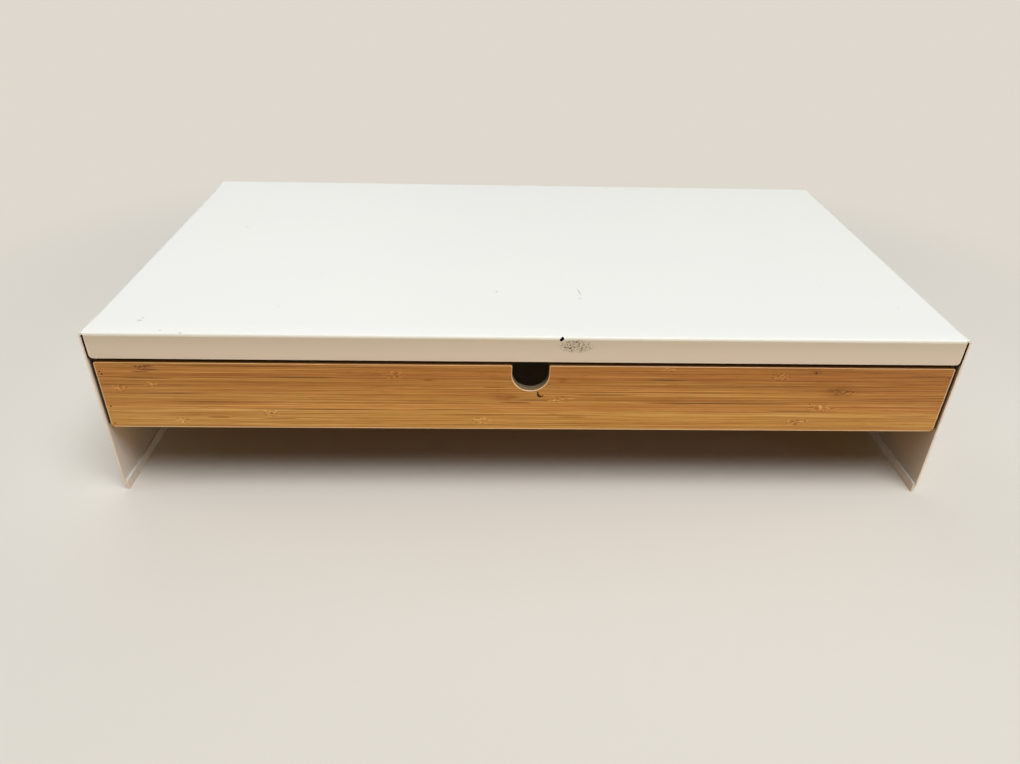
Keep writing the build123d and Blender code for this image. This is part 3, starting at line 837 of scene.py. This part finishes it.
def board_finish(name):
    """Thin fibreboard: a smooth white face, bare brown fibres below and on the edges."""
    finish, nodes, shader = new_finish(name, IOR=1.48)
    spot = nodes.spot()
    up = nodes.parts(nodes.add("TexCoord").outputs["Normal"])["Z"]
    bare = nodes.ramp(up, 0.4, 0.7, 1.0, 0.0)
    fibres = nodes.noise(spot, 700.0, 4.0, 0.7)
    brown = nodes.blend(nodes.ramp(fibres, 0.3, 0.7), board_brown, board_dark)
    white = nodes.blend(nodes.noise(spot, 25.0), board_white, board_shade)
    nodes.feed(shader["Base Color"], nodes.blend(bare, white, brown))
    nodes.feed(shader["Roughness"], nodes.ramp(bare, 0.0, 1.0, 0.42, 0.8))
    raise_surface(nodes, shader, fibres, 0.05 * MM, 0.4)
    return finish


finishes = {
    "powder_coat": powder_coat_finish("powder coat on the stand", marked=True),
    "rail_coat": powder_coat_finish("powder coat on the rails"),
    "foot_plastic": moulded_finish("foot strip plastic", foot_white, 0.5, ledge_shade=0.35),
    "zinc_steel": zinc_finish("zinc plated steel"),
    "glide_plastic": moulded_finish("glide liner plastic", glide_white, 0.32),
    "bumper_rubber": moulded_finish("bumper rubber", rubber_dark, 0.6),
    "bamboo_front": bamboo_finish(
        "bamboo of the front", "X", "Z", "Y", 1.0, lift=2.2 * MM, marks=front_marks
    ),
    "bamboo_side": bamboo_finish("bamboo of the sides", "Y", "Z", "X", 5.0),
    "bamboo_back": bamboo_finish("bamboo of the back", "X", "Z", "Y", 9.0),
    "bamboo_block": bamboo_finish("bamboo of the blocks", "Z", "X", "Y", 13.0),
    "white_board": board_finish("white-faced fibreboard"),
    "catch_plastic": moulded_finish("catch plastic", catch_white, 0.38),
}

node_finish = {
    "stand_shell": "powder_coat",
    "foot_strip_left": "foot_plastic",
    "foot_strip_right": "foot_plastic",
    "rail_left": "rail_coat",
    "rail_right": "rail_coat",
    "rail_studs": "zinc_steel",
    "rail_nuts": "zinc_steel",
    "glide_liner_left": "glide_plastic",
    "glide_liner_right": "glide_plastic",
    "bumper_left": "bumper_rubber",
    "bumper_right": "bumper_rubber",
    "drawer_front": "bamboo_front",
    "drawer_side_left": "bamboo_side",
    "drawer_side_right": "bamboo_side",
    "drawer_back": "bamboo_back",
    "drawer_bottom": "white_board",
    "corner_block_left": "bamboo_block",
    "corner_block_right": "bamboo_block",
    "front_screws": "zinc_steel",
    "back_screws": "zinc_steel",
    "bottom_screws": "zinc_steel",
    "drawer_catch_left": "catch_plastic",
    "drawer_catch_right": "catch_plastic",
    "catch_screws": "zinc_steel",
}

for node, finish in node_finish.items():
    cad[node].data.materials.clear()
    cad[node].data.materials.append(finishes[finish])


def soften(node, width, angle=30.0):
    """Rounds the cut edges of a CAD piece a little, as sanding or a coat of paint does."""
    piece = cad[node]
    weld = piece.modifiers.new("weld seams", "WELD")
    weld.merge_threshold = 0.002 * MM
    flatten = piece.modifiers.new("join flat faces", "DECIMATE")
    flatten.decimate_type = "DISSOLVE"
    flatten.angle_limit = math.radians(0.5)
    bevel = piece.modifiers.new("round edges", "BEVEL")
    bevel.width = width
    bevel.segments = 2
    bevel.limit_method = "ANGLE"
    bevel.angle_limit = math.radians(angle)
    bevel.harden_normals = False
    normals = piece.modifiers.new("even normals", "WEIGHTED_NORMAL")
    normals.weight = 100
    normals.keep_sharp = False


edge_rounding = {
    "stand_shell": 0.2,
    "rail_left": 0.2,
    "rail_right": 0.2,
    "foot_strip_left": 0.15,
    "foot_strip_right": 0.15,
    "glide_liner_left": 0.2,
    "glide_liner_right": 0.2,
    "drawer_front": 0.35,
    "drawer_side_left": 0.35,
    "drawer_side_right": 0.35,
    "drawer_back": 0.35,
    "drawer_bottom": 0.2,
    "corner_block_left": 0.5,
    "corner_block_right": 0.5,
}
for node, width in edge_rounding.items():
    soften(node, width * MM)


# Fasteners, with the threads and recesses that their CAD solids leave out. A screw's recess has
# its widths in shares of the head's radius, and its thread in shares of the shank's
thread_turns = 24
thread_steps = 6
stud_pitch = 0.7 * MM
stud_thread = 0.35 * MM
stud_base = 0.8 * MM
stud_base_radius = 2.75 * MM
stud_radius = 1.95 * MM
stud_tip = 0.5 * MM
nut_bore = 2.0 * MM
nut_flange_radius = 5.0 * MM
nut_flange_rim = 0.45 * MM
nut_flange_slope = math.tan(math.radians(24.0))
nut_half_flats = 3.5 * MM
nut_face_radius = 3.35 * MM
nut_chamfer_slope = math.tan(math.radians(30.0))
screw_rim = 0.3 * MM
screw_tip = 1.6 * MM
recess_taper = 0.55
recess_half_width = 0.11
recess_reach = 0.45
screw_root = 0.8
screw_pitch = 0.8
screw_thread = 0.28


def ring(mesh, steps, radius, height):
    """One turn of points. radius and height are numbers, or functions of the angle."""
    points = []
    for step in range(steps):
        angle = 2 * math.pi * step / steps
        reach = radius(angle) if callable(radius) else radius
        level = height(angle) if callable(height) else height
        points.append(mesh.verts.new((reach * math.cos(angle), reach * math.sin(angle), level)))
    return points


def skin(mesh, rings, closed=False):
    """Faces between each ring and the next one."""
    pairs = list(zip(rings, rings[1:]))
    if closed:
        pairs.append((rings[-1], rings[0]))
    for upper, lower in pairs:
        count = len(upper)
        for index in range(count):
            after = (index + 1) % count
            mesh.faces.new((upper[index], upper[after], lower[after], lower[index]))


def thread_radius(level, pitch, depth, outside):
    """Radius of a thread at each angle, for one level along the shank."""

    def radius(angle):
        turn = (level / pitch + angle / (2 * math.pi)) % 1.0
        return outside - depth * (1.0 - abs(2.0 * turn - 1.0))

    return radius


def add_thread(mesh, start, end, pitch, depth, outside, point, first):
    """Rings of a threaded shank that goes down from start to end and tapers over point."""
    count = math.ceil((start - end) / pitch * thread_steps)
    rings = [first]
    for index in range(1, count + 1):
        level = start + (end - start) * index / count
        taper = min(1.0, 0.25 + 0.75 * (level - end) / point)
        rings.append(
            ring(
                mesh,
                thread_turns,
                thread_radius(level, pitch, depth * taper, outside * taper),
                level,
            )
        )
    skin(mesh, rings)
    mesh.faces.new(rings[-1][::-1])


def stud_mesh(length):
    """Weld stud, pointing down from its base at the origin."""
    mesh = bmesh.new()
    top = ring(mesh, thread_turns, stud_base_radius, 0.0)
    edge = ring(mesh, thread_turns, stud_base_radius, -stud_base)
    neck = ring(mesh, thread_turns, stud_radius - stud_thread, -stud_base)
    mesh.faces.new(top)
    skin(mesh, [top, edge, neck])
    add_thread(mesh, -stud_base, -length, stud_pitch, stud_thread, stud_radius, 2 * stud_tip, neck)
    return mesh


def nut_mesh(height):
    """Hexagon nut with a flange, pointing down from its seat at the origin."""
    mesh = bmesh.new()
    steps = 60

    def hexagon(angle):
        return nut_half_flats / math.cos((angle + math.pi / 6) % (math.pi / 3) - math.pi / 6)

    def flange_top(angle):
        return -nut_flange_rim - (nut_flange_radius - hexagon(angle)) * nut_flange_slope

    def chamfer_edge(angle):
        return -height + max(0.0, hexagon(angle) - nut_face_radius) * nut_chamfer_slope

    rings = [
        ring(mesh, steps, nut_bore, 0.0),
        ring(mesh, steps, nut_flange_radius, 0.0),
        ring(mesh, steps, nut_flange_radius, -nut_flange_rim),
        ring(mesh, steps, hexagon, flange_top),
        ring(mesh, steps, hexagon, chamfer_edge),
        ring(mesh, steps, nut_face_radius, -height),
        ring(mesh, steps, nut_bore + 0.4 * MM, -height),
        ring(mesh, steps, nut_bore, -height + 0.4 * MM),
    ]
    skin(mesh, rings, closed=True)
    return mesh


def screw_mesh(length, shank, head, recess):
    """Countersunk screw with a cross recess, pointing down from its head at the origin."""
    mesh = bmesh.new()
    rim = ring(mesh, thread_turns, head, 0.0)
    half = recess_half_width * head
    reach = recess_reach * head
    corners = [(reach, -half), (reach, half), (half, half)]
    mouth = []
    floor = []
    for quarter in range(4):
        turn = Matrix.Rotation(quarter * math.pi / 2, 4, "Z")
        for x, y in corners:
            mouth.append(mesh.verts.new(turn @ Vector((x, y, 0.0))))
            floor.append(
                mesh.verts.new(turn @ Vector((x * recess_taper, y * recess_taper, -recess)))
            )
    loops = []
    for points in (rim, mouth):
        for index, point in enumerate(points):
            loops.append(mesh.edges.new((point, points[(index + 1) % len(points)])))
    bmesh.ops.triangle_fill(mesh, edges=loops, use_beauty=True, normal=(0.0, 0.0, 1.0))
    skin(mesh, [floor, mouth])
    mesh.faces.new(floor)
    lower = ring(mesh, thread_turns, head, -screw_rim)
    neck_level = -screw_rim - (head - shank)
    neck = ring(mesh, thread_turns, screw_root * shank, neck_level)
    skin(mesh, [rim, lower, neck])
    pitch = screw_pitch * shank
    depth = screw_thread * shank
    add_thread(mesh, neck_level, -length, pitch, depth, shank, screw_tip, neck)
    return mesh


def fit_fasteners(name, node, body, make, places):
    """Puts one fastener at each place, as one piece that stands for the CAD node."""
    whole = bmesh.new()
    for place, downwards in places:
        one = make()
        bmesh.ops.recalc_face_normals(one, faces=one.faces)
        turn = Vector((0, 0, -1)).rotation_difference(Vector(downwards)).to_matrix().to_4x4()
        bmesh.ops.transform(one, matrix=Matrix.Translation(place) @ turn, verts=one.verts)
        sheet = bpy.data.meshes.new("fastener")
        one.to_mesh(sheet)
        one.free()
        whole.from_mesh(sheet)
        bpy.data.meshes.remove(sheet)
    mesh = bpy.data.meshes.new(name)
    whole.to_mesh(mesh)
    whole.free()
    piece = bpy.data.objects.new(name, mesh)
    bpy.context.scene.collection.objects.link(piece)
    mesh.materials.append(finishes["zinc_steel"])
    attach(piece, body)
    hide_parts(node)
    return piece


low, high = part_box("rail_studs")
stud_columns = (high.x - stud_base_radius) * Vector((-1, 1))
stud_rows = [low.y + stud_base_radius, (low.y + high.y) / 2, high.y - stud_base_radius]
fit_fasteners(
    "threaded_studs",
    "rail_studs",
    "stand",
    lambda: stud_mesh(high.z - low.z),
    [((x, y, high.z), (0, 0, -1)) for x in stud_columns for y in stud_rows],
)

nut_low, nut_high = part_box("rail_nuts")
fit_fasteners(
    "flanged_nuts",
    "rail_nuts",
    "stand",
    lambda: nut_mesh(nut_high.z - nut_low.z),
    [((x, y, nut_high.z), (0, 0, -1)) for x in stud_columns for y in stud_rows],
)

screw_radius = 1.45 * MM
screw_head = 2.8 * MM
screw_recess = 1.1 * MM
small_radius = 1.2 * MM
small_head = 2.3 * MM
small_recess = 0.9 * MM

low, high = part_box("front_screws")
fit_fasteners(
    "front_screws_threaded",
    "front_screws",
    "drawer",
    lambda: screw_mesh(high.y - low.y, screw_radius, screw_head, screw_recess),
    [
        ((x, high.y, z), (0, -1, 0))
        for x in (low.x + screw_head, high.x - screw_head)
        for z in (low.z + screw_head, high.z - screw_head)
    ],
)

low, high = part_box("back_screws")
back_length = 22 * MM
fit_fasteners(
    "back_screws_threaded",
    "back_screws",
    "drawer",
    lambda: screw_mesh(back_length, screw_radius, screw_head, screw_recess),
    [
        ((side * high.x, (low.y + high.y) / 2, z), (-side, 0, 0))
        for side in (-1, 1)
        for z in (low.z + screw_head, high.z - screw_head)
    ],
)

low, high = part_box("bottom_screws")
fit_fasteners(
    "bottom_screws_threaded",
    "bottom_screws",
    "drawer",
    lambda: screw_mesh(high.z - low.z, screw_radius, screw_head, screw_recess),
    [
        ((x, (low.y + high.y) / 2, low.z), (0, 0, 1))
        for x in (low.x + screw_head, (low.x + high.x) / 2, high.x - screw_head)
    ],
)

low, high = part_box("catch_screws")
catch_length = 7.7 * MM
fit_fasteners(
    "catch_screws_threaded",
    "catch_screws",
    "drawer",
    lambda: screw_mesh(catch_length, small_radius, small_head, small_recess),
    [
        ((side * high.x, y, (low.z + high.z) / 2), (-side, 0, 0))
        for side in (-1, 1)
        for y in (low.y + small_head, high.y - small_head)
    ],
)


def camera_split(nodes, to_others, to_camera):
    """What the camera sees directly on one side, what lights the object on the other."""
    path = nodes.add("LightPath")
    direct = nodes.calc("MAXIMUM", path.outputs["Is Camera Ray"], path.outputs["Is Glossy Ray"])
    split = nodes.add("MixShader")
    for socket, value in zip(split.inputs, (direct, to_others, to_camera)):
        nodes.feed(socket, value)
    return split.outputs["Shader"]


def lay_floor():
    """Plain pale floor that keeps the object's shadow and fades into the backdrop."""
    bpy.ops.mesh.primitive_plane_add(size=40.0)
    floor = bpy.context.object
    floor.name = "floor"
    finish = bpy.data.materials.new("pale floor")
    finish.use_nodes = True
    finish.node_tree.nodes.clear()
    nodes = Nodes(finish.node_tree)
    lowest, highest = cad_box
    middle = [(low + high) / 2 for low, high in zip(lowest, highest)]
    half = [(high - low) / 2 for low, high in zip(lowest, highest)]
    beside = nodes.vector_calc("ABSOLUTE", nodes.vector_calc("SUBTRACT", nodes.spot(), middle))
    beside = nodes.vector_calc("SUBTRACT", beside, half)
    away = nodes.vector_calc("LENGTH", nodes.vector_calc("MAXIMUM", beside, (0.0, 0.0, 0.0)))
    plain = nodes.add("BsdfDiffuse", {"Color": floor_seen}).outputs[0]
    warm = nodes.add("BsdfDiffuse", {"Color": floor_bounce}).outputs[0]
    distance = nodes.add("Emission", {"Color": backdrop_seen}).outputs[0]
    fade = nodes.add("MixShader")
    for socket, value in zip(
        fade.inputs, (nodes.ramp(away, floor_near, floor_far), plain, distance)
    ):
        nodes.feed(socket, value)
    below = nodes.add("NewGeometry").outputs["Backfacing"]
    clear = nodes.add("BsdfTransparent").outputs[0]
    seen = nodes.add("MixShader")
    for socket, value in zip(seen.inputs, (below, fade.outputs["Shader"], clear)):
        nodes.feed(socket, value)
    surface = camera_split(nodes, warm, seen.outputs["Shader"])
    nodes.add("OutputMaterial", {"Surface": surface})
    floor.data.materials.append(finish)


def hang_backdrop():
    """Even sky light, seen by the camera as a pale backdrop."""
    world = bpy.data.worlds.new("studio")
    bpy.context.scene.world = world
    world.use_nodes = True
    world.node_tree.nodes.clear()
    nodes = Nodes(world.node_tree)
    light = nodes.add("Background", {"Color": sky_light, "Strength": sky_strength}).outputs[0]
    seen = nodes.add("Background", {"Color": backdrop_seen}).outputs[0]
    nodes.add("OutputWorld", {"Surface": camera_split(nodes, light, seen)})


lay_floor()
hang_backdrop()


def soft_lamp(name, place, size, power, colour, target=(0.0, 0.0, 0.08)):
    """Soft box of a width and a height that faces the target."""
    lamp = bpy.data.lights.new(name, "AREA")
    lamp.shape = "RECTANGLE"
    lamp.size, lamp.size_y = size
    lamp.energy = power
    lamp.color = colour
    holder = bpy.data.objects.new(name, lamp)
    bpy.context.scene.collection.objects.link(holder)
    aim = Vector(place) - Vector(target)
    turn = aim.to_track_quat("Z", "Y").to_matrix().to_4x4()
    holder.matrix_world = Matrix.Translation(place) @ turn
    holder.visible_camera = False
    return holder


soft_lamp("key soft box", (0.36, -0.70, 1.75), (1.1, 1.1), 32.0, (0.99, 0.995, 0.985))
soft_lamp("front soft box", (0.12, -1.5, 0.22), (1.0, 0.34), 2.9, (1.0, 0.60, 0.14))
soft_lamp("window soft box", (1.25, -0.80, 0.45), (0.6, 0.6), 0.75, (0.85, 0.95, 1.0))
soft_lamp("overhead soft box", (-0.7, 0.1, 1.5), (1.0, 1.0), 3.0, (0.97, 0.985, 1.0))
soft_lamp("rear soft box", (-0.55, 0.95, 1.15), (0.9, 0.9), 3.4, (0.97, 0.985, 1.0))
# The side strips light the outer faces of the legs, and leave no glare on the top
strip_colour = (0.93, 0.97, 1.0)
for name, x, power in (("left side strip", -1.4, 6.4), ("right side strip", 1.4, 5.2)):
    strip = soft_lamp(name, (x, 0.0, 0.25), (0.8, 0.3), power, strip_colour)
    strip.visible_glossy = False

camera = bpy.data.cameras.new("photo view")
camera.lens = camera_lens
camera.sensor_width = camera_sensor
camera.clip_start = 0.01
camera_holder = bpy.data.objects.new("photo view", camera)
bpy.context.scene.collection.objects.link(camera_holder)
camera_holder.matrix_world = (
    Matrix.Translation(camera_place)
    @ Matrix.Rotation(math.radians(camera_heading), 4, "Z")
    @ Matrix.Rotation(math.radians(camera_tilt), 4, "X")
    @ Matrix.Rotation(math.radians(camera_roll), 4, "Z")
)
bpy.context.scene.camera = camera_holder
bpy.context.scene.view_settings.view_transform = "Standard"
